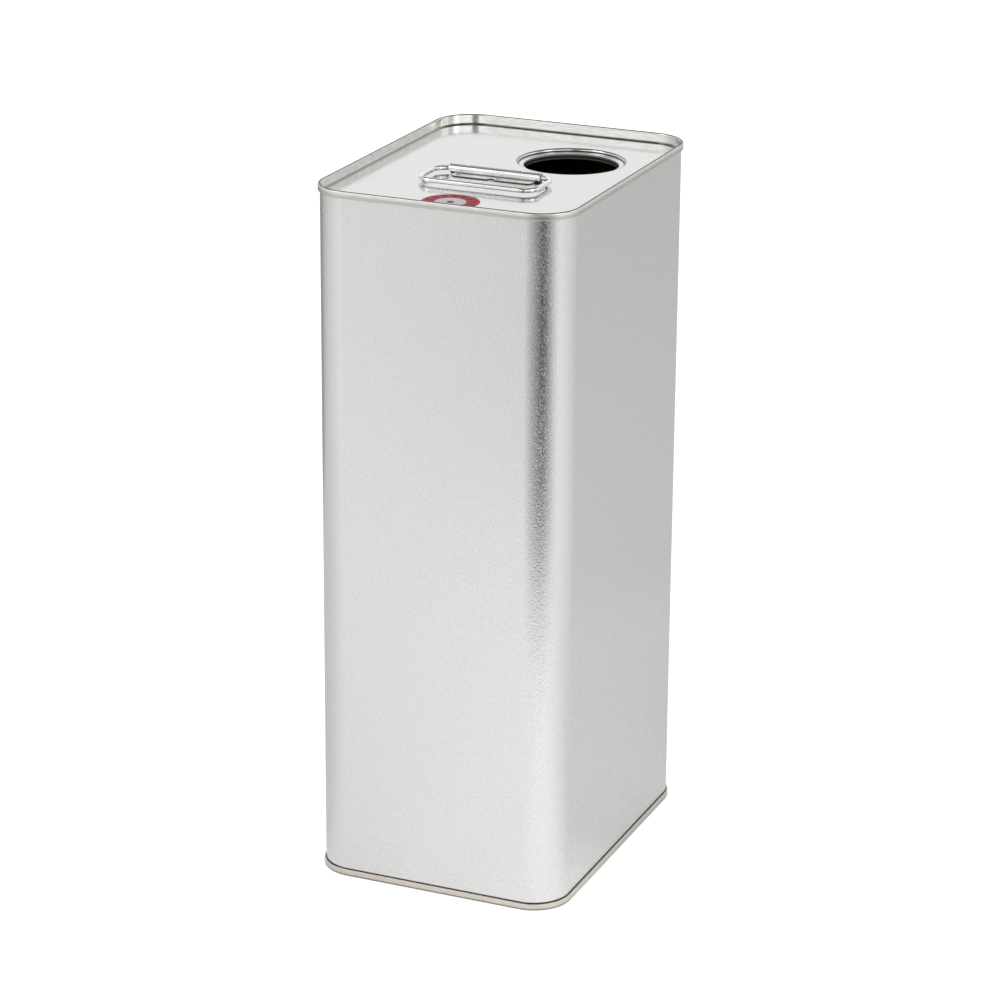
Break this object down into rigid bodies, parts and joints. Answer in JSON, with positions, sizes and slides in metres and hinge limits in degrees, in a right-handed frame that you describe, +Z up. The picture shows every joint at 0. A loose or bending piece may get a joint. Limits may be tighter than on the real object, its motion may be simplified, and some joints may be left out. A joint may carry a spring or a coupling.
{
  "type": "rectangular tinplate oil tin with carrying ring",
  "caption": "Tall rectangular tinplate oil tin with rounded corners, seamed ends, an open round pouring neck and a folding wire carrying ring.",
  "frame": {"origin": "middle of the base, on the plane that the base seam stands on", "axes": "+Z up, +X along the narrow front face to the right, +Y from the front face to the back, towards the opening"},
  "size_m": [0.1198, 0.1558, 0.319],
  "materials": {
    "body_tinplate": "bright tinplate with a fine upright grain",
    "end_tinplate": "bright tinplate, smoother than the body",
    "bracket_steel": "bright tinned strip",
    "ring_wire": "tinned wire",
    "weld_steel": "grey weld with a dull scale",
    "seam_compound": "matt sealing compound"
  },
  "bodies": {
    "tin": {"body_shell": "body_tinplate", "side_seam_weld": "weld_steel", "top_end": "end_tinplate", "base_end": "end_tinplate", "top_seam_compound": "seam_compound", "base_seam_compound": "seam_compound", "handle_bracket": "bracket_steel", "bracket_spot_welds": "weld_steel"},
    "ring": {"carrying_ring": "ring_wire"}
  },
  "joints": [
    {"name": "ring_hinge", "type": "hinge", "parent": "tin", "child": "ring", "pos_m": [0.0007, -0.0116, 0.3165], "axis": [-1, 0, 0], "range_deg": [0, 180]}
  ]
}
